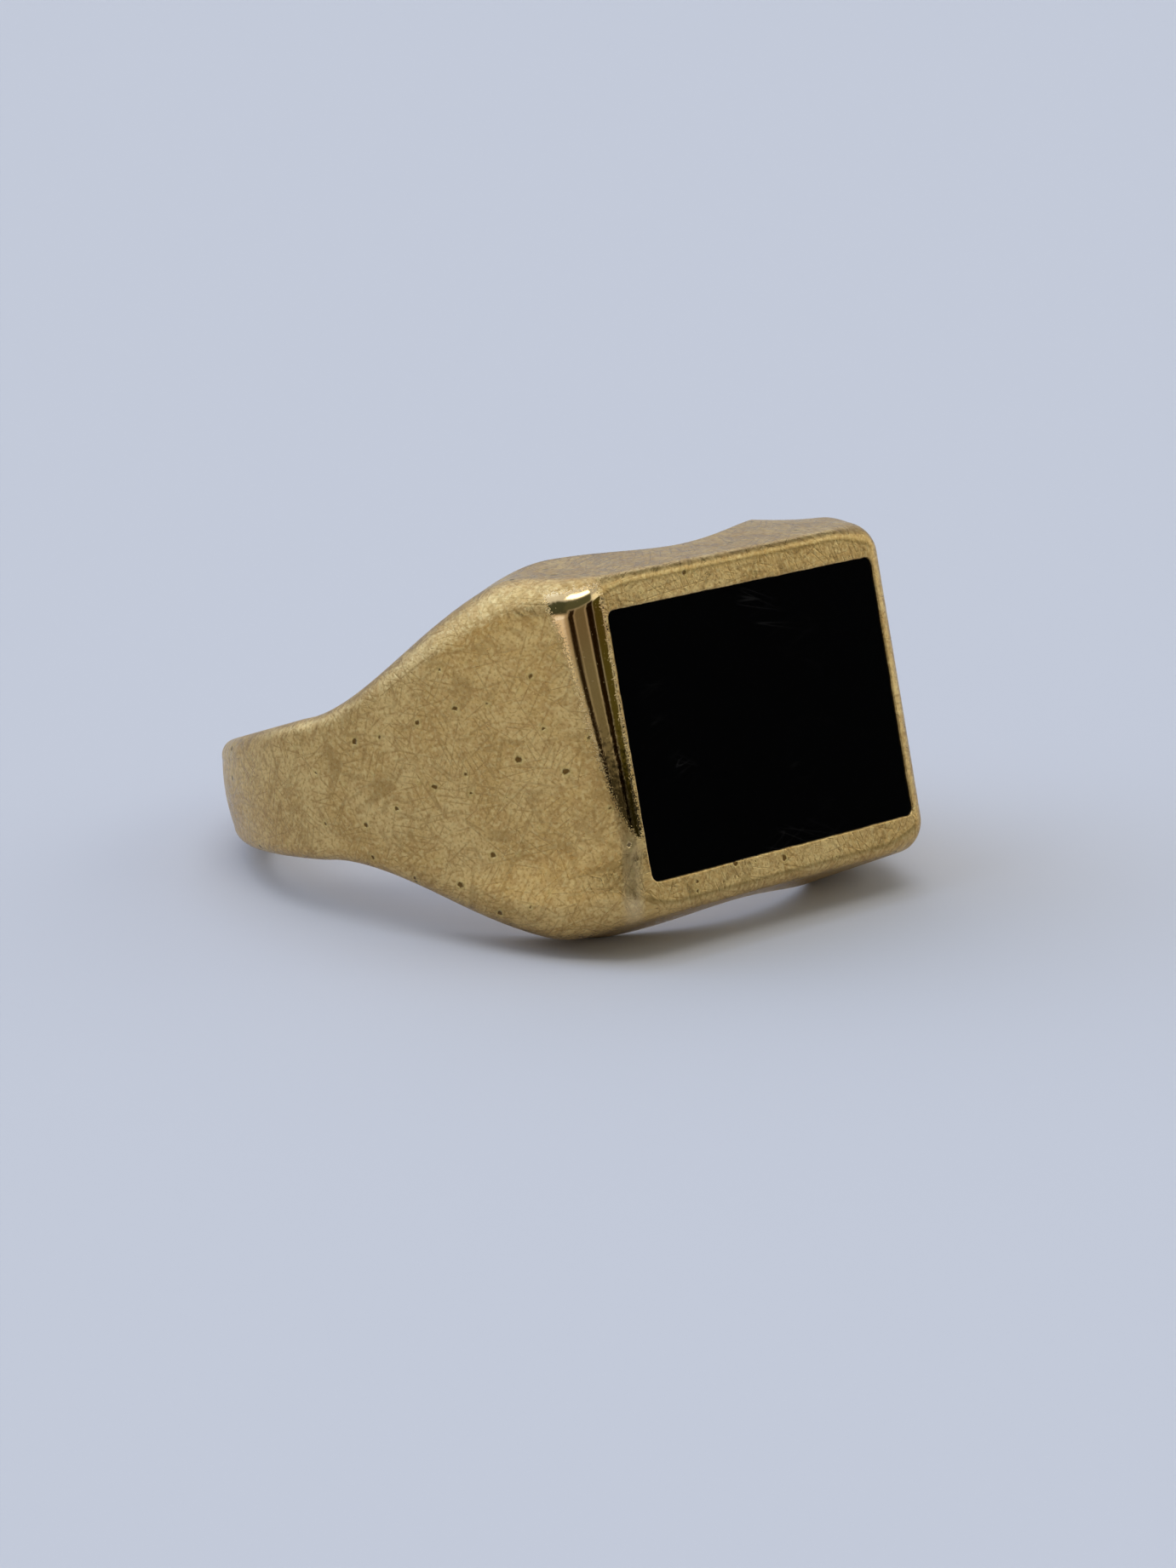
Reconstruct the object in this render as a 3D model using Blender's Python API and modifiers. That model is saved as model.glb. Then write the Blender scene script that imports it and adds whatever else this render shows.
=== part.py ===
"""A gentleman's signet ring lying on its side: a one-piece cast gold ring with a black onyx tablet let into its head.

The ring is modelled about its finger axis: +X runs round the finger, -Y points out through the face of the
head and +Z runs along the finger. An empty then tips it over until the head's lower edge and the back of the
shank both rest on the ground plane.
"""

import math

import bmesh
import bpy
from mathutils import Matrix, Vector
from mathutils.geometry import interpolate_bezier

MM = 0.001

# The inlay
STONE_LENGTH = 13.1 * MM
STONE_WIDTH = 9.5 * MM
STONE_THICKNESS = 1.4 * MM
STONE_CORNER_RADIUS = 0.35 * MM
STONE_OFFSET = 0.3 * MM
CEMENT_THICKNESS = 0.25 * MM
CEMENT_INSET = 0.4 * MM
CLEARANCE = 0.25 * MM

# The ring body, seen along the finger
FINGER_RADIUS = 9.7 * MM
RECESS_FLOOR = 0.75 * MM
END_RIM = 0.4 * MM
FACE_END_FILLET = 1.1 * MM
SHOULDER_LEAN = math.radians(40)
SHOULDER_START_PULL = 4.2 * MM
SHOULDER_END_PULL = 2.8 * MM
SHANK_SIDE_THICKNESS = 1.65 * MM
SHANK_BACK_THICKNESS = 1.45 * MM

# The ring body, along the finger
SIDE_RIM = 0.9 * MM
HEAD_FLARE = 0.8 * MM
HEAD_WAIST = 0.3 * MM
SHANK_SIDE_HALF_WIDTH = 2.55 * MM
SHANK_BACK_HALF_WIDTH = 1.6 * MM
TAPER_END_ANGLE = math.radians(86)
FLARE_ANGLE = math.radians(14)

# Edge roundings
FACE_EDGE_ROUNDING = 0.35 * MM
SHOULDER_EDGE_ROUNDING = 1.5 * MM
SHANK_EDGE_ROUNDING = 0.7 * MM
FINGER_EDGE_ROUNDING = 0.3 * MM
ROUNDING_GROWTH_ANGLES = (math.radians(8), math.radians(10))

# What follows from them
RECESS_DEPTH = STONE_THICKNESS + CEMENT_THICKNESS + 2 * CLEARANCE
FACE_HEIGHT = FINGER_RADIUS + RECESS_FLOOR + RECESS_DEPTH
FACE_HALF_LENGTH = STONE_LENGTH / 2 + CLEARANCE + END_RIM
FACE_HALF_WIDTH = STONE_WIDTH / 2 + CLEARANCE + SIDE_RIM
HEAD_HALF_WIDTH = FACE_HALF_WIDTH + HEAD_FLARE
HEAD_CORNER_ANGLE = math.atan2(FACE_HALF_LENGTH, FACE_HEIGHT)

# How finely the curves are divided
FACE_STEPS = 8
FILLET_STEPS = 5
SHOULDER_STEPS = 14
SHANK_STEPS = 20
ROUNDING_STEPS = 4
FINGER_EDGE_STEPS = 2
CORNER_STEPS = 3
TIP_SEARCH_STEPS = 50


def clear_scene():
    for old in list(bpy.data.objects):
        bpy.data.objects.remove(old, do_unlink=True)


def make_collection(name):
    collection = bpy.data.collections.new(name)
    bpy.context.scene.collection.children.link(collection)
    return collection


def make_material(name, colour, roughness, metallic):
    material = bpy.data.materials.new(name)
    material.use_nodes = True
    shader = material.node_tree.nodes["Principled BSDF"]
    shader.inputs["Base Color"].default_value = (*colour, 1)
    shader.inputs["Roughness"].default_value = roughness
    shader.inputs["Metallic"].default_value = metallic
    material.diffuse_color = (*colour, 1)
    return material


def add_object(name, mesh_source, collection, material=None):
    """Turn a bmesh into an object and free the bmesh."""
    mesh = bpy.data.meshes.new(name)
    mesh_source.to_mesh(mesh)
    mesh_source.free()
    made = bpy.data.objects.new(name, mesh)
    collection.objects.link(made)
    if material:
        mesh.materials.append(material)
    return made


def ease(value, start, end):
    """0 before start, 1 after end, and a smooth rise between them."""
    share = min(max((value - start) / (end - start), 0), 1)
    return share * share * (3 - 2 * share)


def half_outline():
    """Half of the ring's outline seen along the finger, from the middle of the face to the middle of the back.

    Each point is (round the finger, out from the finger). The flat face ends in a fillet, the shoulder is one
    smooth curve down to the side of the shank, and the shank thins towards the back.
    """
    corner = Vector((FACE_HALF_LENGTH, FACE_HEIGHT))
    along_face = Vector((-1, 0))
    along_shoulder = Vector((math.sin(SHOULDER_LEAN), -math.cos(SHOULDER_LEAN)))
    half_angle = along_face.angle(along_shoulder) / 2
    cut = FACE_END_FILLET / math.tan(half_angle)
    to_centre = (along_face + along_shoulder).normalized()
    fillet_centre = corner + to_centre * FACE_END_FILLET / math.sin(half_angle)
    fillet_turn = math.pi - 2 * half_angle

    points = []
    for step in range(FACE_STEPS):
        points.append(Vector(((FACE_HALF_LENGTH - cut) * step / FACE_STEPS, FACE_HEIGHT)))
    for step in range(FILLET_STEPS):
        turn = fillet_turn * step / FILLET_STEPS
        points.append(fillet_centre + FACE_END_FILLET * Vector((math.sin(turn), math.cos(turn))))
    start = corner + along_shoulder * cut
    end = Vector((FINGER_RADIUS + SHANK_SIDE_THICKNESS, 0))
    start_handle = start + along_shoulder * SHOULDER_START_PULL
    end_handle = end + Vector((0, SHOULDER_END_PULL))
    points += interpolate_bezier(start, start_handle, end_handle, end, SHOULDER_STEPS + 1)
    for step in range(1, SHANK_STEPS + 1):
        share = step / SHANK_STEPS
        angle = math.pi / 2 * (1 + share)
        thickness = SHANK_SIDE_THICKNESS + (SHANK_BACK_THICKNESS - SHANK_SIDE_THICKNESS) * share
        radius = FINGER_RADIUS + thickness
        points.append(Vector((radius * math.sin(angle), radius * math.cos(angle))))
    points[-1].x = 0
    return points


def half_width(angle):
    """Half-width of the ring at this angle from the middle of the face: broad head, narrow shank."""
    head_share = 1 - ease(angle, HEAD_CORNER_ANGLE, TAPER_END_ANGLE)
    side_share = min((math.pi - angle) / (math.pi - TAPER_END_ANGLE), 1) ** 2
    shank = SHANK_BACK_HALF_WIDTH + (SHANK_SIDE_HALF_WIDTH - SHANK_BACK_HALF_WIDTH) * side_share
    return shank + (HEAD_HALF_WIDTH - shank) * head_share


def section(point):
    """The ring's closed section in the plane through the finger axis and this outline point."""
    radius = point.length
    angle = math.atan2(point.x, point.y)
    width = half_width(angle)
    inner = width - HEAD_WAIST * (1 - ease(angle, 0, HEAD_CORNER_ANGLE))
    flare = ease(angle, HEAD_CORNER_ANGLE, HEAD_CORNER_ANGLE + FLARE_ANGLE)
    outer = FACE_HALF_WIDTH + (width - FACE_HALF_WIDTH) * flare

    before_corner, after_corner = ROUNDING_GROWTH_ANGLES
    beyond_face = ease(angle, HEAD_CORNER_ANGLE - before_corner, HEAD_CORNER_ANGLE + after_corner)
    rounding = FACE_EDGE_ROUNDING + (SHOULDER_EDGE_ROUNDING - FACE_EDGE_ROUNDING) * beyond_face
    on_shank = ease(angle, math.pi / 4, TAPER_END_ANGLE)
    rounding += (SHANK_EDGE_ROUNDING - rounding) * on_shank
    wall = radius - FINGER_RADIUS
    rounding = min(rounding, 0.6 * wall, 0.8 * outer)
    finger_rounding = min(FINGER_EDGE_ROUNDING, 0.2 * wall)

    side_slope = (inner - outer) / wall
    upper = []
    for step in range(ROUNDING_STEPS + 1):
        turn = math.pi / 2 * step / ROUNDING_STEPS
        drop = rounding * (1 - math.cos(turn))
        upper.append((radius - drop, outer + side_slope * drop - rounding * (1 - math.sin(turn))))
    for step in range(FINGER_EDGE_STEPS + 1):
        turn = math.pi / 2 * step / FINGER_EDGE_STEPS
        out = FINGER_RADIUS + finger_rounding * (1 - math.sin(turn))
        upper.append((out, inner - finger_rounding * (1 - math.cos(turn))))
    loop = upper + [(out, -along) for out, along in reversed(upper)]
    direction = Vector((point.x, -point.y, 0)) / radius
    return [direction * out + Vector((0, 0, along)) for out, along in loop]


def make_tablet(name, collection, length, width, thickness, corner_radius, material=None):
    """A flat rectangular block with rounded upright corners: length on X, thickness on Y and width on Z."""
    block = bmesh.new()
    bmesh.ops.create_cube(block, size=1, matrix=Matrix.Diagonal((length, thickness, width, 1)))
    upright = [edge for edge in block.edges if abs(edge.verts[0].co.y - edge.verts[1].co.y) > thickness / 2]
    bmesh.ops.bevel(block, geom=upright, offset=corner_radius, segments=CORNER_STEPS, profile=0.5, affect="EDGES")
    return add_object(name, block, collection, material)


def make_ring_body(collection, gold):
    """Half of the ring, lofted from unlike sections round the finger and mirrored."""
    body = bmesh.new()
    loops = [[body.verts.new(corner) for corner in section(point)] for point in half_outline()]
    for near, far in zip(loops, loops[1:]):
        for index in range(len(near)):
            following = (index + 1) % len(near)
            body.faces.new((near[index], near[following], far[following], far[index]))
    bmesh.ops.recalc_face_normals(body, faces=body.faces)
    ring = add_object("ring_body", body, collection, gold)
    mirror = ring.modifiers.new("other_half", "MIRROR")
    mirror.use_axis = (True, False, False)
    mirror.use_clip = True
    mirror.merge_threshold = 0.00001
    return ring


def cut_recess(ring, cutters):
    """Sink the straight-walled recess for the inlay into the face, a little nearer one end than the other."""
    cutter = make_tablet("recess_cutter", cutters, STONE_LENGTH + 2 * CLEARANCE, STONE_WIDTH + 2 * CLEARANCE,
                         2 * RECESS_DEPTH, STONE_CORNER_RADIUS + CLEARANCE)
    cutter.location = (STONE_OFFSET, -FACE_HEIGHT, 0)
    cutter.hide_render = True
    cutter.display_type = "WIRE"
    cut = ring.modifiers.new("stone_recess", "BOOLEAN")
    cut.operation = "DIFFERENCE"
    cut.solver = "EXACT"
    cut.object = cutter
    ring.data.shade_smooth()
    ring.data.set_sharp_from_angle(angle=math.radians(40))
    return cutter


def make_onyx_tablet(collection, onyx):
    """The stone, its table flush with the face."""
    stone = make_tablet("onyx_tablet", collection, STONE_LENGTH, STONE_WIDTH, STONE_THICKNESS,
                        STONE_CORNER_RADIUS, onyx)
    stone.location = (STONE_OFFSET, -(FACE_HEIGHT - STONE_THICKNESS / 2), 0)
    return stone


def make_cement_bed(collection, cement):
    """The thin layer of cement between the stone and the floor of the recess."""
    bed = make_tablet("cement_bed", collection, STONE_LENGTH - 2 * CEMENT_INSET, STONE_WIDTH - 2 * CEMENT_INSET,
                      CEMENT_THICKNESS, STONE_CORNER_RADIUS, cement)
    bed.location = (STONE_OFFSET, -(FACE_HEIGHT - STONE_THICKNESS - CLEARANCE - CEMENT_THICKNESS / 2), 0)
    return bed


def finished_corners(ring):
    """Every corner of the finished ring body, in the ring's own frame."""
    evaluated = ring.evaluated_get(bpy.context.evaluated_depsgraph_get())
    return [vertex.co.copy() for vertex in evaluated.data.vertices]


def tipped(corners, angle):
    turn = Matrix.Rotation(-angle, 3, "X")
    return [turn @ corner for corner in corners]


def resting_angle(corners):
    """The tip that brings the head's lower edge and the back of the shank to the same height."""
    low, high = 0, math.pi / 4
    head = [corner for corner in corners if corner.y < 0]
    back = [corner for corner in corners if corner.y > 0]
    for _ in range(TIP_SEARCH_STEPS):
        middle = (low + high) / 2
        lowest_head = min(corner.z for corner in tipped(head, middle))
        lowest_back = min(corner.z for corner in tipped(back, middle))
        if lowest_head < lowest_back:
            low = middle
        else:
            high = middle
    return (low + high) / 2


def rest_on_ground(ring, others, collection):
    """Tip the ring on to its side and centre it over the origin, through one empty that carries every piece."""
    corners = finished_corners(ring)
    angle = resting_angle(corners)
    turned = tipped(corners, angle)
    lowest = Vector([min(corner[axis] for corner in turned) for axis in range(3)])
    highest = Vector([max(corner[axis] for corner in turned) for axis in range(3)])
    middle = (lowest + highest) / 2

    carrier = bpy.data.objects.new("ring_at_rest", None)
    carrier.empty_display_size = FINGER_RADIUS
    collection.objects.link(carrier)
    carrier.rotation_euler = (-angle, 0, 0)
    carrier.location = (-middle.x, -middle.y, -lowest.z)
    for piece in (ring, *others):
        piece.parent = carrier


def build():
    clear_scene()
    collection = make_collection("signet_ring")
    cutters = make_collection("signet_ring_cutters")
    gold = make_material("yellow_gold", (0.60, 0.43, 0.19), 0.32, 1.0)
    onyx = make_material("black_onyx", (0.004, 0.004, 0.005), 0.06, 0.0)
    cement = make_material("setting_cement", (0.10, 0.08, 0.06), 0.8, 0.0)

    ring = make_ring_body(collection, gold)
    cutter = cut_recess(ring, cutters)
    stone = make_onyx_tablet(collection, onyx)
    bed = make_cement_bed(collection, cement)
    rest_on_ground(ring, (cutter, stone, bed), collection)


build()
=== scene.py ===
import math

import bmesh
import bpy
from mathutils import Matrix, Vector, noise


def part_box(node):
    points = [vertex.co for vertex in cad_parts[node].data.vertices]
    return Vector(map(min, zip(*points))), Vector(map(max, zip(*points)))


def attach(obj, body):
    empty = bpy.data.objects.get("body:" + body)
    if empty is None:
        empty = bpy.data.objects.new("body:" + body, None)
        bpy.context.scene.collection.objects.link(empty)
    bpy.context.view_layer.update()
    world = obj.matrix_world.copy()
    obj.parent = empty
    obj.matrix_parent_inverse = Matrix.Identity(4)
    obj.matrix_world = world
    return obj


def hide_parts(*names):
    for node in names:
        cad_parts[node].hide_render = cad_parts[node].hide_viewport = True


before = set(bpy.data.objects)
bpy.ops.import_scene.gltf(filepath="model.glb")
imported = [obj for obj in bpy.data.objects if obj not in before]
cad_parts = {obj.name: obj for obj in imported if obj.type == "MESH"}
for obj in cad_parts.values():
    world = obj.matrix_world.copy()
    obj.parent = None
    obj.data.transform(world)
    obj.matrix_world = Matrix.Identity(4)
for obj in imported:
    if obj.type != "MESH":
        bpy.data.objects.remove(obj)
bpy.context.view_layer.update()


# ----------------------------------------------------------------------------------------------------------
# The ring body: one casting in 9 carat yellow gold, with head, shoulders and shank in one piece. The head was
# filed flat and a pocket cut in it, whose thin walls are burnished over the stone's edge. Years of wear have
# left it satin, scratched and pitted, with one end of the rim still bright.

MM = 0.001
STONE_LENGTH = 13.1 * MM
STONE_WIDTH = 9.5 * MM
STONE_THICKNESS = 1.4 * MM
STONE_OFFSET = 0.3 * MM
FINGER_RADIUS = 9.7 * MM
FACE_HEIGHT = 12.6 * MM
FACE_HALF_LENGTH = 7.2 * MM
FACE_HALF_WIDTH = 5.9 * MM
HEAD_HALF_WIDTH = 6.7 * MM
HEAD_WAIST = 0.3 * MM
HEAD_CORNER = math.atan2(FACE_HALF_LENGTH, FACE_HEIGHT)
FLARE_ANGLE = math.radians(14)
SHOULDER_LEAN = math.radians(40)
SHOULDER_START_PULL = 4.2 * MM
SHOULDER_END_PULL = 2.8 * MM
SHOULDER_CROWN = 0.1 * MM
SHANK_SIDE_THICKNESS = 1.65 * MM
SHANK_BACK_THICKNESS = 1.45 * MM
SHANK_SIDE_HALF_WIDTH = 2.55 * MM
SHANK_BACK_HALF_WIDTH = 1.6 * MM
TAPER_END = math.radians(86)
FACE_ROUNDING = 0.35 * MM
SHOULDER_ROUNDING = 1.5 * MM
SHANK_ROUNDING = 0.7 * MM
FINGER_ROUNDING = 0.3 * MM
BEND_OF_ROUNDING = math.radians(8)
BEND_OF_FACE = math.radians(1)
CROWN_START_SHARE = 0.86

# One end of the rim rolls over broadly at its top and tightly at its foot. The other is a plain small roll.
PLAIN_ROLL = 0.75 * MM
BROAD_ROLL = 2.0 * MM
TIGHT_ROLL = 0.95 * MM
FOOT_ROLL = 1.1 * MM
TIGHT_REACH = 6.85 * MM
ROLL_GROWS = -4.5 * MM, 6 * MM
ROLL_FOOT = -3 * MM, -5.6 * MM

# The bright wedge along that end of the rim, the dull strip between it and the stone, how it widens at its
# top, how much of it the other end still has, and where a painted pale reflection of the floor lies at its
# foot.
BRIGHT_WIDTH = 1.8 * MM
BRIGHT_FOOT = -3.2 * MM
BRIGHT_TOP = 5.7 * MM
BRIGHT_BOW = 0.4
BRIGHT_FADE = 0.5 * MM
DULL_STRIP = 0.12 * MM
TOP_WIDENING = 0.2 * MM
TOP_WIDENS = 3.6 * MM, 5.2 * MM
OTHER_END_SHARE = 0.35
PAINTED_GLEAM_SPAN = -2.4 * MM, -3.8 * MM
# How far round the start of the face's edge roll a painted dark line runs, standing in for the dark
# surroundings it mirrors.
PAINTED_CREASE_REACH = 0.25

# The lip of gold burnished over the stone, and the pocket under it. Each waver of its edge has a height and
# a length.
LIP_HALF_LENGTH = 6.52 * MM
LIP_HALF_WIDTH = 4.73 * MM
LIP_CORNER = 0.3 * MM
LIP_DEPTH = 0.07 * MM
LIP_ROLL = 0.05 * MM
LIP_OVERHANG = 0.07 * MM
LIP_CORNER_FADE = 0.8 * MM
LIP_WAVER = (0.022 * MM, 1.3 * MM), (0.018 * MM, 0.35 * MM)
WAVER_WIDTH = 0.5 * MM
POCKET_DEPTH = 2.15 * MM

# How many stations go round half the ring in each stretch, and how many lines along half its section.
STATIONS = {"face": 46, "rim": 3, "fillet": 16, "shoulder": 66, "shank": 44}
LINES = {"face": 34, "rim": 8, "round": 12, "side": 10, "edge": 4, "bore": 14}


def ease(value, start, end):
    """0 before start, 1 after end, and a smooth rise between them."""
    share = min(max((value - start) / (end - start), 0), 1)
    return share * share * (3 - 2 * share)


def end_of_lip(end):
    """How far the lip reaches from the middle of the head, at the end on +X or on -X."""
    return LIP_HALF_LENGTH + end * STONE_OFFSET


def outline_point(stretch, share, end, fillet, reach):
    """A point of the outline, as (round the finger, out from it), of a head that rolls over at this reach."""
    down = Vector((math.sin(SHOULDER_LEAN), -math.cos(SHOULDER_LEAN)))
    half_angle = Vector((-1, 0)).angle(down) / 2
    cut = fillet / math.tan(half_angle)
    corner = Vector((reach, FACE_HEIGHT))
    if stretch == "face":
        return Vector((end_of_lip(end) * share, FACE_HEIGHT))
    if stretch == "rim":
        return Vector((end_of_lip(end) + (reach - cut - end_of_lip(end)) * share, FACE_HEIGHT))
    if stretch == "fillet":
        centre = corner + (Vector((-1, 0)) + down).normalized() * fillet / math.sin(half_angle)
        turn = (math.pi - 2 * half_angle) * share
        return centre + fillet * Vector((math.sin(turn), math.cos(turn)))
    if stretch == "shoulder":
        start = corner + down * cut
        finish = Vector((FINGER_RADIUS + SHANK_SIDE_THICKNESS, 0))
        handles = start + down * SHOULDER_START_PULL, finish + Vector((0, SHOULDER_END_PULL))
        left = 1 - share
        near_start = left ** 3 * start + 3 * left ** 2 * share * handles[0]
        return near_start + 3 * left * share ** 2 * handles[1] + share ** 3 * finish
    angle = math.pi / 2 * (1 + share)
    radius = FINGER_RADIUS + SHANK_SIDE_THICKNESS + (SHANK_BACK_THICKNESS - SHANK_SIDE_THICKNESS) * share
    return Vector((radius * math.sin(angle), radius * math.cos(angle)))


def roll(end, along):
    """The radius of the head's end, and how far out it is, at this place along the finger."""
    if end > 0:
        return PLAIN_ROLL, FACE_HALF_LENGTH
    high = ease(along, *ROLL_GROWS)
    foot = ease(along, *ROLL_FOOT)
    fillet = TIGHT_ROLL + (BROAD_ROLL - TIGHT_ROLL) * high
    reach = TIGHT_REACH + (FACE_HALF_LENGTH - TIGHT_REACH) * high
    return fillet + (FOOT_ROLL - fillet) * foot, reach + (FACE_HALF_LENGTH - reach) * foot


def section_point(angle, radius, part, share):
    """Where one line of the ring's section crosses it, as (out from the finger, along the finger)."""
    head_share = 1 - ease(angle, HEAD_CORNER, TAPER_END)
    side_share = min((math.pi - angle) / (math.pi - TAPER_END), 1) ** 2
    shank = SHANK_BACK_HALF_WIDTH + (SHANK_SIDE_HALF_WIDTH - SHANK_BACK_HALF_WIDTH) * side_share
    width = shank + (HEAD_HALF_WIDTH - shank) * head_share
    inner = width - HEAD_WAIST * (1 - ease(angle, 0, HEAD_CORNER))
    outer = FACE_HALF_WIDTH + (width - FACE_HALF_WIDTH) * ease(angle, HEAD_CORNER, HEAD_CORNER + FLARE_ANGLE)
    wall = radius - FINGER_RADIUS
    beyond_corner = ease(angle, HEAD_CORNER - BEND_OF_ROUNDING, HEAD_CORNER + BEND_OF_ROUNDING)
    rounding = FACE_ROUNDING + (SHOULDER_ROUNDING - FACE_ROUNDING) * beyond_corner
    rounding += (SHANK_ROUNDING - rounding) * ease(angle, math.pi / 4, TAPER_END)
    rounding = min(rounding, 0.6 * wall, 0.8 * outer)
    finger_rounding = min(FINGER_ROUNDING, 0.2 * wall)
    slope = (inner - outer) / wall

    flat = outer - rounding
    beyond_face = ease(angle, HEAD_CORNER - BEND_OF_FACE, HEAD_CORNER + FLARE_ANGLE)
    lip = LIP_HALF_WIDTH + (CROWN_START_SHARE * flat - LIP_HALF_WIDTH) * beyond_face
    crown = SHOULDER_CROWN * beyond_face
    if part in ("face", "rim"):
        along = lip * share if part == "face" else lip + (flat - lip) * share
        return radius - crown * (along / flat) ** 2, along
    turn = math.pi / 2 * share
    if part == "round":
        drop = rounding * (1 - math.cos(turn))
        return radius - drop - crown * (1 - share), outer + slope * drop - rounding * (1 - math.sin(turn))
    if part == "side":
        top = Vector((radius - rounding, outer + slope * rounding))
        return top.lerp(Vector((FINGER_RADIUS + finger_rounding, inner)), share)
    if part == "edge":
        out = FINGER_RADIUS + finger_rounding * (1 - math.sin(turn))
        return out, inner - finger_rounding * (1 - math.cos(turn))
    return FINGER_RADIUS, (inner - finger_rounding) * (1 - share)


def closed_loop(counts):
    """The steps of a loop with two like halves: each one's stretch, share of it, and 1 or -1 for its half."""
    half = [(name, step / count) for name, count in counts.items() for step in range(count)]
    half.append((list(counts)[-1], 1))
    return [(*step, 1) for step in half[:-1]] + [(*step, -1) for step in reversed(half[1:])]


stations = closed_loop(STATIONS)
lines = closed_loop(LINES)

# A thin round wire is spun into a closed band, then every point of it goes to its station and line.
body = bmesh.new()
wire = bmesh.ops.create_circle(body, segments=len(lines), radius=MM)["verts"]
upright = Matrix.Translation((FINGER_RADIUS, 0, 0)) @ Matrix.Rotation(math.pi / 2, 4, "X")
bmesh.ops.transform(body, verts=wire, matrix=upright)
bmesh.ops.spin(body, geom=body.verts[:] + body.edges[:], axis=(0, 0, 1), cent=(0, 0, 0), steps=len(stations),
               angle=2 * math.pi, use_merge=True)
bmesh.ops.remove_doubles(body, verts=body.verts, dist=0.0001 * MM)

polish = body.verts.layers.float.new("polish")
painted_crease_shade = body.verts.layers.float.new("painted_crease_shade")
bore = body.verts.layers.float.new("bore")
painted_foot_gleam = body.verts.layers.float.new("painted_foot_gleam")
grid = {}
pocket_verts = set()

for vert in body.verts:
    turn = math.atan2(vert.co.y, vert.co.x)
    out = math.hypot(vert.co.x, vert.co.y) - FINGER_RADIUS
    station = round(turn / (2 * math.pi) * len(stations)) % len(stations)
    line = round(math.atan2(vert.co.z, out) / (2 * math.pi) * len(lines)) % len(lines)
    grid[station, line] = vert
    stretch, share, end = stations[station]
    part, part_share, side = lines[line]

    nominal = outline_point(stretch, share, end, *roll(end, 0))
    along = side * section_point(math.atan2(nominal.x, nominal.y), nominal.length, part, part_share)[1]
    point = outline_point(stretch, share, end, *roll(end, along))
    angle = math.atan2(point.x, point.y)
    out, along = section_point(angle, point.length, part, part_share)
    along *= side
    vert.co = (end * out * math.sin(angle), -out * math.cos(angle), along)

    # The bright part of the rim is a wedge, broad at the top and gone near the foot of the stone.
    from_stone = (point - Vector((end_of_lip(end), FACE_HEIGHT))).length if stretch != "face" else -MM
    width = BRIGHT_WIDTH * max((along - BRIGHT_FOOT) / (LIP_HALF_WIDTH - BRIGHT_FOOT), 0) ** BRIGHT_BOW
    width += TOP_WIDENING * ease(along, *TOP_WIDENS)
    within = min(width - from_stone, BRIGHT_TOP - along, from_stone - DULL_STRIP)
    if part in ("face", "rim", "round") and stretch != "shank":
        vert[polish] = min(max(0.5 + within / BRIGHT_FADE, 0), 1) * (1 if end < 0 else OTHER_END_SHARE)
    # The start of the face's edge roll gets a painted dark line: painted reflection of dark surroundings,
    # darkest at the crease.
    if part == "round" and part_share < PAINTED_CREASE_REACH and stretch in ("face", "rim"):
        vert[painted_crease_shade] = 1 - part_share / PAINTED_CREASE_REACH
    # The foot of the broad roll gets a painted pale reflection of the floor, strongest in the middle of the
    # roll.
    if stretch == "fillet" and end < 0 and part != "bore":
        vert[painted_foot_gleam] = ease(along, *PAINTED_GLEAM_SPAN) * math.sin(math.pi * share)
    vert[bore] = {"bore": 1.0, "edge": part_share}.get(part, 0.0)
    in_length = stretch == "face" or (stretch, share) == ("rim", 0)
    in_width = part == "face" or (part, part_share) == ("rim", 0)
    if in_length and in_width:
        pocket_verts.add(vert)

# The surface is unrolled in millimetres, so that wear can follow it: U goes round the finger, and V goes
# across from the middle of the outside to the middle of the bore, both ways.
half_lines = len(lines) // 2
walk_round = [0]
for station in range(len(stations)):
    step = grid[(station + 1) % len(stations), 0].co - grid[station, 0].co
    walk_round.append(walk_round[-1] + step.length / MM)
walk_across = {}
for station in range(len(stations)):
    distance = 0
    for line in range(half_lines + 1):
        walk_across[station, line] = distance / MM
        walk_across[station, -line % len(lines)] = -distance / MM
        distance += (grid[station, line + 1].co - grid[station, line].co).length
place_of = {vert: place for place, vert in grid.items()}
unrolled = body.loops.layers.uv.new("unrolled")
for face in body.faces:
    closes_round = {0, len(stations) - 1} <= {place_of[vert][0] for vert in face.verts}
    upper_half = min(place_of[vert][1] for vert in face.verts) < half_lines
    for corner in face.loops:
        station, line = place_of[corner.vert]
        across = walk_across[station, line]
        if upper_half and line == half_lines:
            across = -across
        corner[unrolled].uv = walk_round[len(stations) if closes_round and station == 0 else station], across
bmesh.ops.recalc_face_normals(body, faces=body.faces)


def round_corners(place, core, corner):
    """Where a point of a rectangle goes when its corners are rounded about this core, and waver a little."""
    over = [max(abs(place[i]) - core[i], 0) for i in range(2)]
    square, circle = max(over), math.hypot(*over)
    if circle == 0:
        return place
    near = 1 - ease(square, corner, corner + LIP_CORNER_FADE)
    reach = circle + (square - circle) * near
    at_edge = 1 - ease(abs(square - corner), 0, WAVER_WIDTH)
    spot = Vector((*place, 0))
    reach += at_edge * sum(height * noise.noise(spot / length) for height, length in LIP_WAVER)
    rounded = [core[i] + over[i] * reach / circle for i in range(2)]
    return [math.copysign(rounded[i], place[i]) if over[i] else place[i] for i in range(2)]


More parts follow.
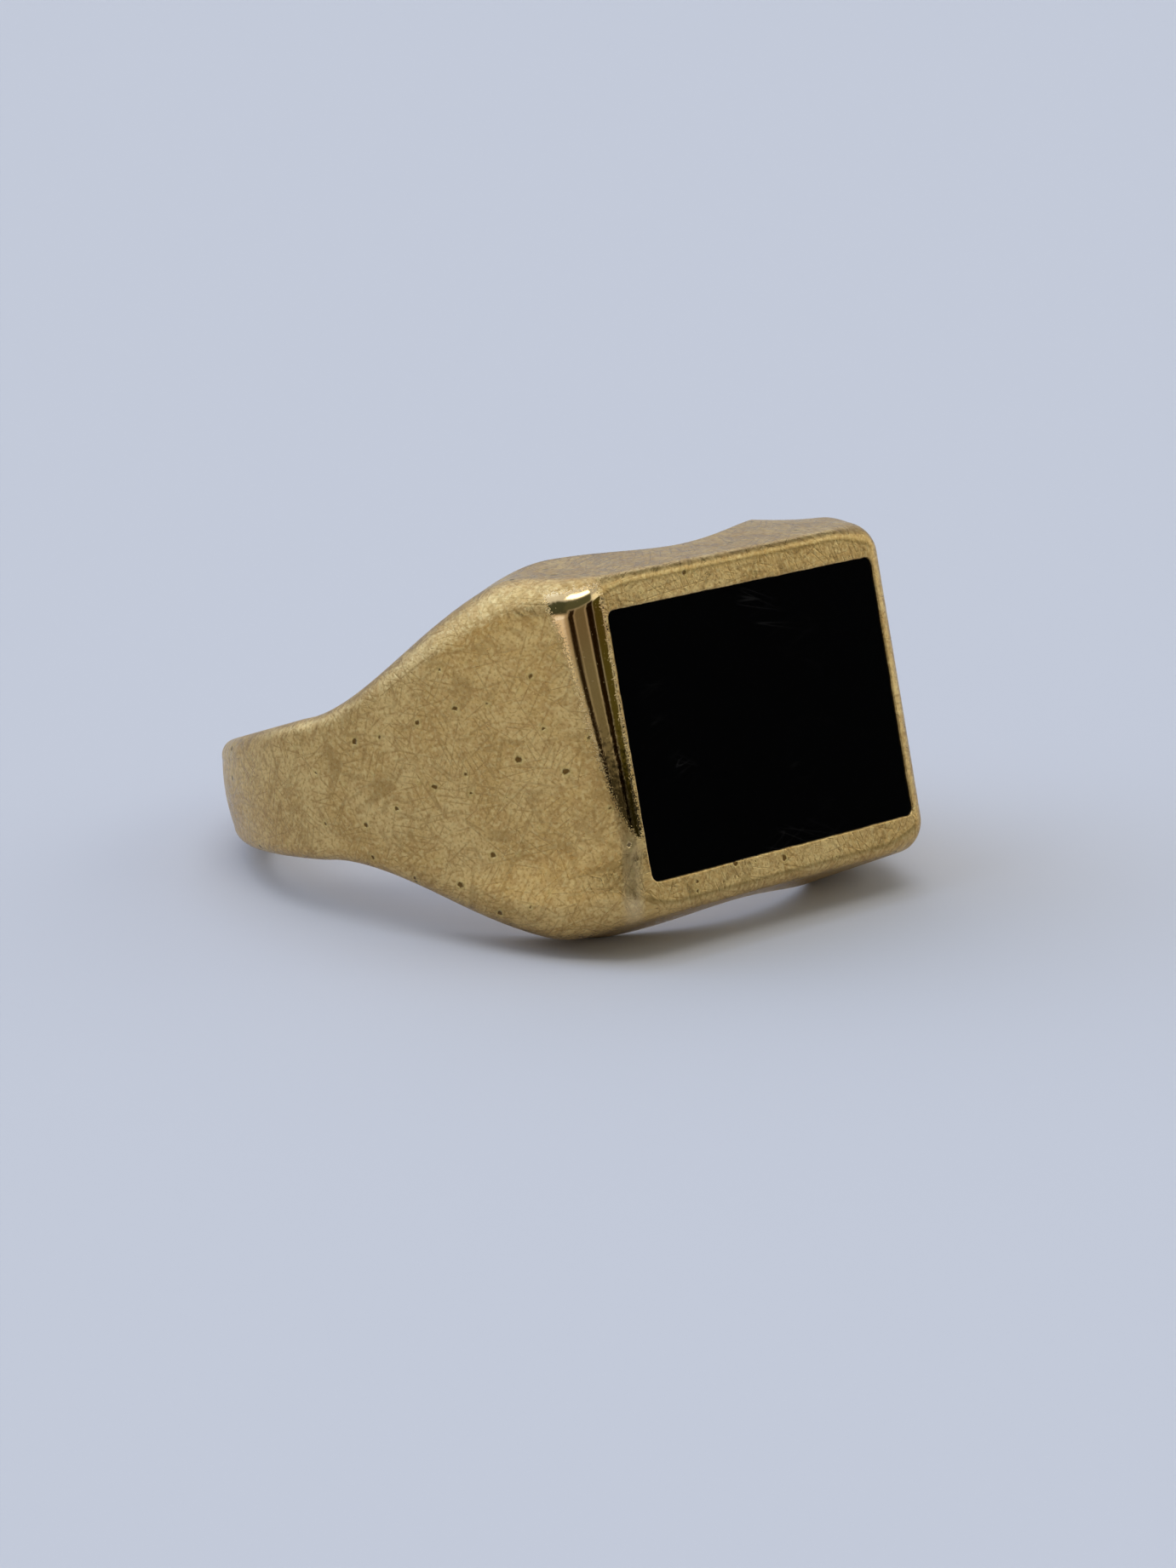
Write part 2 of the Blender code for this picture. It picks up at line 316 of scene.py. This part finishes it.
lip_core = LIP_HALF_LENGTH - LIP_CORNER, LIP_HALF_WIDTH - LIP_CORNER
for vert in body.verts:
    if vert.co.y < 0.001 * MM - FACE_HEIGHT:
        across, along = round_corners((vert.co.x - STONE_OFFSET, vert.co.z), lip_core, LIP_CORNER)
        vert.co.x, vert.co.z = across + STONE_OFFSET, along

pocket = [face for face in body.faces if pocket_verts.issuperset(face.verts)]
lip_edges = [edge for edge in body.edges if sum(face in pocket for face in edge.link_faces) == 1]


def sink(faces, depth, spread):
    """Pushes the pocket's floor further in, spreading it as it goes, and leaves a wall behind it."""
    grown = bmesh.ops.extrude_face_region(body, geom=faces)["geom"]
    bmesh.ops.delete(body, geom=[face for face in faces if face.is_valid], context="FACES")
    for vert in (item for item in grown if isinstance(item, bmesh.types.BMVert)):
        vert.co.x += (vert.co.x - STONE_OFFSET) * spread / LIP_HALF_LENGTH
        vert.co.z += vert.co.z * spread / LIP_HALF_WIDTH
        vert.co.y += depth
    return [item for item in grown if isinstance(item, bmesh.types.BMFace)]


pocket = sink(pocket, LIP_DEPTH, 0)
pocket = sink(pocket, 0.1 * LIP_DEPTH, LIP_OVERHANG)
pocket = sink(pocket, POCKET_DEPTH - 1.1 * LIP_DEPTH, 0)
bmesh.ops.dissolve_faces(body, faces=pocket)
bmesh.ops.bevel(body, geom=[edge for edge in lip_edges if edge.is_valid], offset=LIP_ROLL, segments=3,
                profile=0.5, affect="EDGES", material=-1)

# The stone's own box says how far the ring is tipped where it lies, and where its head is.
low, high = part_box("onyx_tablet")
size = high - low
tip = math.atan2(STONE_WIDTH * size.y - STONE_THICKNESS * size.z,
                 STONE_WIDTH * size.z - STONE_THICKNESS * size.y)
tilt = Matrix.Rotation(-tip, 4, "X")
stone_middle = Vector((STONE_OFFSET, STONE_THICKNESS / 2 - FACE_HEIGHT, 0))
placed = Matrix.Translation((low + high) / 2 - tilt @ stone_middle) @ tilt


def finish_piece(source, name, material, crease=40):
    """Makes an object of a bmesh, and lays it where the ring lies. Folds past the crease angle stay sharp."""
    bmesh.ops.transform(source, verts=source.verts, matrix=placed)
    mesh = bpy.data.meshes.new(name)
    source.to_mesh(mesh)
    source.free()
    mesh.materials.append(material)
    mesh.shade_smooth()
    mesh.set_sharp_from_angle(angle=math.radians(crease))
    made = bpy.data.objects.new(name, mesh)
    bpy.context.scene.collection.objects.link(made)
    return made


def colour(text):
    """A linear colour from sRGB hex."""
    channels = [int(text[i:i + 2], 16) / 255 for i in (0, 2, 4)]
    return (*(c / 12.92 if c <= 0.04045 else ((c + 0.055) / 1.055) ** 2.4 for c in channels), 1)


def add(kind, inputs=(), out=0, **settings):
    """Adds a node to the tree in hand, sets or links its inputs, by place or name, and gives one output."""
    node = tree.nodes.new("ShaderNode" + kind)
    for name, value in settings.items():
        setattr(node, name, value)
    named = inputs.items() if isinstance(inputs, dict) else enumerate(inputs)
    for place, value in named:
        if isinstance(value, bpy.types.NodeSocket):
            tree.links.new(value, node.inputs[place])
        else:
            node.inputs[place].default_value = value
    return node.outputs[out]


# Gold that was polished, then dulled by years of fine scratches: a broad soft sheen with hairlines and dark
# pits, and a mirror only where the rim's end is still bright.
gold = bpy.data.materials.new("worn_9ct_yellow_gold")
gold.use_nodes = True
tree = gold.node_tree
shader = tree.nodes["Principled BSDF"]
shader.inputs["Metallic"].default_value = 1
unroll = add("UVMap", uv_map="unrolled")
across = add("SeparateXYZ", (unroll,), out=1)

# Every value that is read between two limits is eased from one to the other.
SMOOTH = {"interpolation_type": "SMOOTHSTEP"}


def blotches(per_mm, detail=2.0, shift=0.0, turn=0.0, stretch=(1.0, 1.0)):
    """Noise over the unrolled surface with this many blotches to the millimetre, turned and drawn out."""
    laid = add("Mapping", {"Vector": unroll, "Location": (shift, 0.6 * shift, 0.0),
                           "Rotation": (0.0, 0.0, turn), "Scale": (*stretch, 1.0)}, vector_type="TEXTURE")
    return add("TexNoise", {"Vector": laid, "Scale": per_mm, "Detail": detail}, "Fac", noise_dimensions="2D")


def hairlines(turn, length, spacing, thickness, shift):
    """Fine near-straight scratches this long and this far apart in millimetres, in patches."""
    drift = add("Math", (blotches(1.0, 0.0, shift, turn, (length, spacing)), 0.5), operation="SUBTRACT")
    aside = add("Math", (drift,), operation="ABSOLUTE")
    line = add("MapRange", (aside, 0.0, thickness / spacing, 1.0, 0.0), **SMOOTH)
    patch = add("MapRange", (blotches(0.8, 1.0, 3 * shift), 0.44, 0.62), **SMOOTH)
    return add("Math", (line, patch), operation="MULTIPLY")


# Real hairlines are too fine to show, so these are drawn 0.03 mm wide, as coarse as they need to be.
scratches = hairlines(0.5, 9.0, 0.5, 0.03, 3.1)
for number, turn in enumerate((1.1, 1.9, 2.4, 2.9, 0.9, 0.1)):
    more = hairlines(turn, 7.0 + number, 0.45, 0.03, 7.7 + 5.3 * number)
    scratches = add("Math", (scratches, more), operation="MAXIMUM")

# Where the rim is still bright, with a frayed border, and the plain values kept on the mesh.
bright = add("Attribute", out="Fac", attribute_name="polish")
fine_fray = add("Math", (blotches(16.0, 3.0, 1.7), 1.3, -0.65), operation="MULTIPLY_ADD")
broad_fray = add("Math", (blotches(3.0, 2.0, 2.7), 0.5, -0.25), operation="MULTIPLY_ADD")
ragged = add("Math", (bright, add("Math", (fine_fray, broad_fray), operation="ADD")), operation="ADD")
mirror = add("Math", (add("MapRange", (ragged, 0.42, 0.66), **SMOOTH),
                      add("MapRange", (bright, 0.05, 0.3), **SMOOTH)), operation="MULTIPLY")
worn = add("Math", (1.0, mirror), operation="SUBTRACT")
inside = add("Attribute", out="Fac", attribute_name="bore")
painted_crease_line = add("Attribute", out="Fac", attribute_name="painted_crease_shade")
foot = add("Attribute", out="Fac", attribute_name="painted_foot_gleam")

# Casting pits with grime in them, one to each 2.6 square millimetres. Most are tiny, and the largest are
# 0.2 mm across.
wobble = add("TexNoise", {"Vector": unroll, "Scale": 5.0}, "Color", noise_dimensions="2D")
laid = add("Mapping", {"Vector": unroll, "Location": (5.0, 3.0, 0.0)}, vector_type="TEXTURE")
wobble = add("VectorMath", {0: wobble, 3: 0.14}, operation="SCALE")
ruffled = add("VectorMath", (laid, wobble), operation="ADD")
cells = add("TexVoronoi", {"Vector": ruffled, "Scale": 0.62}, voronoi_dimensions="2D").node
chance = add("SeparateColor", (cells.outputs["Color"],))
radius = add("MapRange", (chance, 0.3, 1.0, 0.0, 0.075), **SMOOTH)
from_edge = add("Math", (cells.outputs["Distance"], radius), operation="SUBTRACT")
hollow = add("MapRange", (from_edge, -0.03, 0.012, 1.0, 0.0), **SMOOTH)
pits = add("Math", (hollow, worn), operation="MULTIPLY")
halos = add("MapRange", (from_edge, 0.0, 0.1, 1.0, 0.0), **SMOOTH)

# The bright metal gets a painted reddish reflection towards the top of its wedge, and blackens with tarnish
# towards the foot.
painted_reddish_reflection = add("Math", (add("MapRange", (across, 2.8, 4.4, 0.0, 0.3), **SMOOTH),
                     add("MapRange", (across, 4.9, 5.2, 1.0, 0.0), **SMOOTH)), operation="MULTIPLY")
painted_reflection_and_tarnish_tint = add("Mix", {0: painted_reddish_reflection, 6: colour("E2C48C"), 7: colour("CE8A5C")}, 2, data_type="RGBA")
creep = add("Math", (blotches(6.0, 3.0, 22.0), 5.0, across), operation="MULTIPLY_ADD")
tarnish = add("MapRange", (creep, 0.8, 3.4, 0.9, 0.0), **SMOOTH)
painted_reflection_and_tarnish_tint = add("Mix", {0: tarnish, 6: painted_reflection_and_tarnish_tint, 7: colour("2A2410")}, 2, data_type="RGBA")

# Each layer of tone over the one before, some of them painted reflection, as how much of it shows and its
# colour.
tone = colour("CBA868")
for share, shade in (
    (add("MapRange", (blotches(0.5), 0.35, 0.65), **SMOOTH), colour("D8B878")),
    (add("MapRange", (blotches(2.2, 2.0, 8.0), 0.42, 0.66, 0.0, 0.45), **SMOOTH), colour("B8925A")),
    (add("MapRange", (blotches(8.0, 2.0, 4.0), 0.48, 0.66, 0.0, 0.5), **SMOOTH), colour("A07C42")),
    (add("MapRange", (blotches(6.0, 3.0, 14.0), 0.5, 0.68, 0.0, 0.5), **SMOOTH), colour("E2C888")),
    (add("Math", (scratches, 0.42), operation="MULTIPLY"), colour("8A6A38")),
    (add("Math", (halos, 0.3), operation="MULTIPLY"), colour("D8C27A")),
    (add("Math", (pits, 0.9), operation="MULTIPLY"), colour("5A3C14")),
    # Painted dark reflection along the crease where the face meets its edge roll.
    (add("Math", (painted_crease_line, 0.55), operation="MULTIPLY"), colour("6E5A2C")),
    # Painted pale reflection of the floor at the foot of the rim's roll.
    (add("Math", (foot, 0.3), operation="MULTIPLY"), colour("F6E2B4")),
    # The bright wedge's own gold, with its painted reddish reflection near the top and real tarnish near the
    # foot.
    (add("Math", (mirror, 0.9), operation="MULTIPLY"), painted_reflection_and_tarnish_tint),
):
    tone = add("Mix", {0: share, 6: tone, 7: shade}, 2, data_type="RGBA")
tree.links.new(tone, shader.inputs["Base Color"])

satin = add("MapRange", (blotches(3.0, 3.0, 9.0), 0.3, 0.7, 0.32, 0.44), **SMOOTH)
dull = add("Math", (scratches, -0.08, satin), operation="MULTIPLY_ADD")
dull = add("Mix", {0: mirror, 2: dull, 3: 0.08}, data_type="FLOAT")
dull = add("Mix", {0: inside, 2: dull, 3: 0.22}, data_type="FLOAT")
tree.links.new(dull, shader.inputs["Roughness"])

# Relief in steps of 0.02 mm: grain and scratches where the metal is worn, pits, and faint file marks.
calm = add("MapRange", (across, -2.0, 3.0, 0.5, 0.96), **SMOOTH)
matt = add("Math", (1.0, add("Math", (mirror, calm), operation="MULTIPLY")), operation="SUBTRACT")
cuts = add("Math", (scratches, -0.25), operation="MULTIPLY")
grain = add("Math", (blotches(7.0, 3.0, 6.0), 0.9, cuts), operation="MULTIPLY_ADD")
holes = add("Math", (pits, -2.0), operation="MULTIPLY")
filing = blotches(1.0, 2.0, 2.0, math.pi / 2, (3.0, 0.15))
depth = add("Math", (filing, 0.12, holes), operation="MULTIPLY_ADD")
depth = add("Math", (grain, matt, depth), operation="MULTIPLY_ADD")
relief = add("Bump", {"Height": depth, "Distance": 0.02 * MM, "Strength": 0.6})
tree.links.new(relief, shader.inputs["Normal"])

ring = finish_piece(body, "ring_body_worn", gold)
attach(ring, "root")
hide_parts("ring_body")


# ----------------------------------------------------------------------------------------------------------
# The stone: a flat tablet of black onyx, which is dyed chalcedony, sawn, lapped and polished. A narrow bevel
# runs round its table, and the gold is burnished over it.

STONE_GAP = LIP_DEPTH
STONE_BEVEL = 0.03 * MM
STONE_CORNER = 0.35 * MM
STONE_CELLS = (52, 38)

stone = bmesh.new()
outline = Matrix.Rotation(math.pi / 2, 4, "X") @ Matrix.Diagonal((STONE_LENGTH, STONE_WIDTH, 1, 1))
bmesh.ops.create_grid(stone, x_segments=STONE_CELLS[0], y_segments=STONE_CELLS[1], size=0.5, matrix=outline)
stone_core = STONE_LENGTH / 2 - STONE_CORNER, STONE_WIDTH / 2 - STONE_CORNER
for vert in stone.verts:
    over = [max(abs(place) - edge, 0) for place, edge in zip((vert.co.x, vert.co.z), stone_core)]
    if min(over) > 0:
        share = max(over) / math.hypot(*over)
        vert.co.x = math.copysign(stone_core[0] + over[0] * share, vert.co.x)
        vert.co.z = math.copysign(stone_core[1] + over[1] * share, vert.co.z)
bmesh.ops.translate(stone, verts=stone.verts, vec=(STONE_OFFSET, STONE_GAP - FACE_HEIGHT, 0))
thick = bmesh.ops.extrude_face_region(stone, geom=stone.faces[:])["geom"]
underside = [item for item in thick if isinstance(item, bmesh.types.BMVert)]
bmesh.ops.translate(stone, verts=underside, vec=(0, STONE_THICKNESS - STONE_GAP, 0))
bmesh.ops.recalc_face_normals(stone, faces=stone.faces)
table_edge = [edge for edge in stone.edges if edge.calc_face_angle(0) > 1
              and all(vert.co.y < -FACE_HEIGHT + 1.5 * STONE_GAP for vert in edge.verts)]
bmesh.ops.bevel(stone, geom=table_edge, offset=STONE_BEVEL, segments=2, profile=0.5, affect="EDGES",
                material=-1)

# Onyx polished to a black glassy face, with a few faint hairlines where it has been rubbed.
onyx = bpy.data.materials.new("polished_black_onyx")
onyx.use_nodes = True
tree = onyx.node_tree
shader = tree.nodes["Principled BSDF"]
shader.inputs["IOR"].default_value = 1.54
spot = add("TexCoord", out="Object")
wear = 0.0
for number, turn in enumerate((0.2, 0.45, 2.8)):
    laid = add("Mapping", {"Vector": spot, "Location": (0.01 * number, 0.0, 0.002),
                           "Rotation": (0.0, turn, 0.0), "Scale": (9 * MM, MM, 0.5 * MM)},
               vector_type="TEXTURE")
    drift = add("TexNoise", {"Vector": laid, "Scale": 1.0, "Detail": 0.0}, "Fac")
    aside = add("Math", (add("Math", (drift, 0.56), operation="SUBTRACT"),), operation="ABSOLUTE")
    line = add("MapRange", (aside, 0.0, 0.012, 1.0, 0.0), **SMOOTH)
    wear = add("Math", (wear, line), operation="MAXIMUM")
patch = add("MapRange", (add("TexNoise", {"Vector": spot, "Scale": 0.26 / MM}, "Fac"), 0.54, 0.66), **SMOOTH)
wear = add("Math", (wear, patch), operation="MULTIPLY")
faint = add("Math", (wear, 0.25), operation="MULTIPLY")
black = add("Mix", {0: faint, 6: colour("050505"), 7: colour("3A3835")}, 2, data_type="RGBA")
tree.links.new(black, shader.inputs["Base Color"])
tree.links.new(add("MapRange", (wear, 0.0, 1.0, 0.05, 0.07), **SMOOTH), shader.inputs["Roughness"])

tablet = finish_piece(stone, "onyx_tablet_polished", onyx, crease=20)
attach(tablet, "root")
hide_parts("onyx_tablet")


# ----------------------------------------------------------------------------------------------------------
# The cement: a thin bed of jeweller's epoxy under the stone, run in wet and set hard, which holds the stone
# down in its pocket. It is out of sight, so the CAD's own solid stays, in this material.

# Filled epoxy: dull, and grainy in lumps of about 0.7 mm and grains of about 0.1 mm.
cement = bpy.data.materials.new("setting_epoxy")
cement.use_nodes = True
tree = cement.node_tree
shader = tree.nodes["Principled BSDF"]
spot = add("TexCoord", out="Object")
lumps = add("TexNoise", {"Vector": spot, "Scale": 1.4 / MM, "Detail": 3.0}, "Fac")
grains = add("TexNoise", {"Vector": spot, "Scale": 9 / MM}, "Fac")
lumpy = add("MapRange", (lumps, 0.35, 0.65), **SMOOTH)
brown = add("Mix", {0: lumpy, 6: colour("4C4136"), 7: colour("62564A")}, 2, data_type="RGBA")
tree.links.new(brown, shader.inputs["Base Color"])
tree.links.new(add("MapRange", (grains, 0.3, 0.7, 0.6, 0.8), **SMOOTH), shader.inputs["Roughness"])
tree.links.new(add("Bump", {"Height": grains, "Distance": 0.03 * MM}), shader.inputs["Normal"])
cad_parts["cement_bed"].data.materials.clear()
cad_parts["cement_bed"].data.materials.append(cement)


# ----------------------------------------------------------------------------------------------------------
# The floor: a plain pale sheet, far wider than the ring. It is matt, with no sheen, so it only gathers the
# ring's soft shadow.

FLOOR_HALF_SIZE = 3.0
floor_mesh = bmesh.new()
bmesh.ops.create_grid(floor_mesh, x_segments=1, y_segments=1, size=FLOOR_HALF_SIZE)
floor_data = bpy.data.meshes.new("floor")
floor_mesh.to_mesh(floor_data)
floor_mesh.free()
floor = bpy.data.objects.new("floor", floor_data)
bpy.context.scene.collection.objects.link(floor)
pale = bpy.data.materials.new("pale_floor")
pale.use_nodes = True
shader = pale.node_tree.nodes["Principled BSDF"]
shader.inputs["Base Color"].default_value = colour("D0CFCD")
shader.inputs["Roughness"].default_value = 0.9
shader.inputs["Specular IOR Level"].default_value = 0.0
floor_data.materials.append(pale)


# ----------------------------------------------------------------------------------------------------------
# The light: a soft pale dome, brightest high at the back, with pale cards that light the gold's broad sheen
# and dark cards that a polished face would mirror.

world = bpy.data.worlds.new("soft_dome")
world.use_nodes = True
bpy.context.scene.world = world
tree = world.node_tree
toward = add("SeparateXYZ", (add("TexCoord", out="Generated"),)).node
elevation = add("Math", (toward.outputs["Z"],), operation="ARCSINE")
from_front = add("Math", (toward.outputs["Y"], -1.0), operation="MULTIPLY")
azimuth = add("Math", (toward.outputs["X"], from_front), operation="ARCTAN2")


def window(angle, start, end, soft):
    """1 between two angles in degrees, and 0 beyond them, with soft edges."""
    start, end, soft = math.radians(start), math.radians(end), math.radians(soft)
    rise = add("MapRange", (angle, start - soft, start + soft), **SMOOTH)
    fall = add("MapRange", (angle, end + soft, end - soft), **SMOOTH)
    return add("Math", (rise, fall), operation="MULTIPLY")


back = add("MapRange", (toward.outputs["Y"], -0.7, 0.7), **SMOOTH)
height = add("MapRange", (elevation, 0.0, math.radians(60)), **SMOOTH)
low_sky = add("Mix", {0: back, 6: (0.46, 0.44, 0.4, 1), 7: (0.4, 0.42, 0.47, 1)}, 2, data_type="RGBA")
high_sky = add("Mix", {0: back, 6: (0.56, 0.6, 0.7, 1), 7: (1.15, 1.26, 1.6, 1)}, 2, data_type="RGBA")
dome = add("Mix", {0: height, 6: low_sky, 7: high_sky}, 2, data_type="RGBA")

# Each card lies over the ones before it: its light, then its span round from the front and its span up, both
# in degrees, and how soft its edges are.
for light, azimuths, elevations, soft in (
    ((1.25, 1.5, 2.1), (-175, -104), (18, 80), 8),
    ((1.12, 1.18, 1.24), (8, 84), (-6, 44), 6),
    ((0.08, 0.075, 0.02), (12, 34), (-6, 20), 2),
    ((0.0, 0.0, 0.0), (35, 49), (0, 13), 2),
    ((0.012, 0.006, 0.0), (-5, 12), (-6, 24), 3),
    ((0.18, 0.17, 0.13), (-32, -8), (-6, 24), 3),
    ((0.02, 0.012, 0.004), (-47, -34), (-6, 24), 3),
    ((0.85, 0.83, 0.77), (-112, -56), (-8, 15), 4),
    ((1.1, 1.25, 1.6), (-68, -55), (5, 13), 3),
    ((0.07, 0.085, 0.065), (-84, -50), (17, 52), 4),
    ((0.1, 0.115, 0.085), (-60, 5), (26, 54), 4),
    ((4.0, 4.0, 4.1), (-70, 5), (58, 72), 3),
    ((0.1, 0.1, 0.05), (66, 115), (36, 60), 4),
):
    round_from_front = window(azimuth, *azimuths, soft)
    mask = add("Math", (round_from_front, window(elevation, *elevations, soft)), operation="MULTIPLY")
    dome = add("Mix", {0: mask, 6: dome, 7: (*light, 1)}, 2, data_type="RGBA")
tree.links.new(dome, tree.nodes["Background"].inputs["Color"])


# ----------------------------------------------------------------------------------------------------------
# The camera: left of the face and a little above it, close in with a long lens. The ring stands sharp
# throughout.

lens = bpy.data.cameras.new("camera")
lens.sensor_width = 36
lens.lens = 107.2
lens.clip_start, lens.clip_end = 0.01, 20
camera = bpy.data.objects.new("camera", lens)
bpy.context.scene.collection.objects.link(camera)
forward = Vector((0.65922528, 0.70285282, -0.26724511))
right = Vector((0.73080151, -0.68254767, 0.00760452))
turned = Matrix((right, right.cross(forward), -forward)).transposed().to_4x4()
camera.matrix_world = Matrix.Translation((-0.112898, -0.122504, 0.049027)) @ turned
bpy.context.scene.camera = camera
bpy.context.scene.view_settings.view_transform = "Standard"
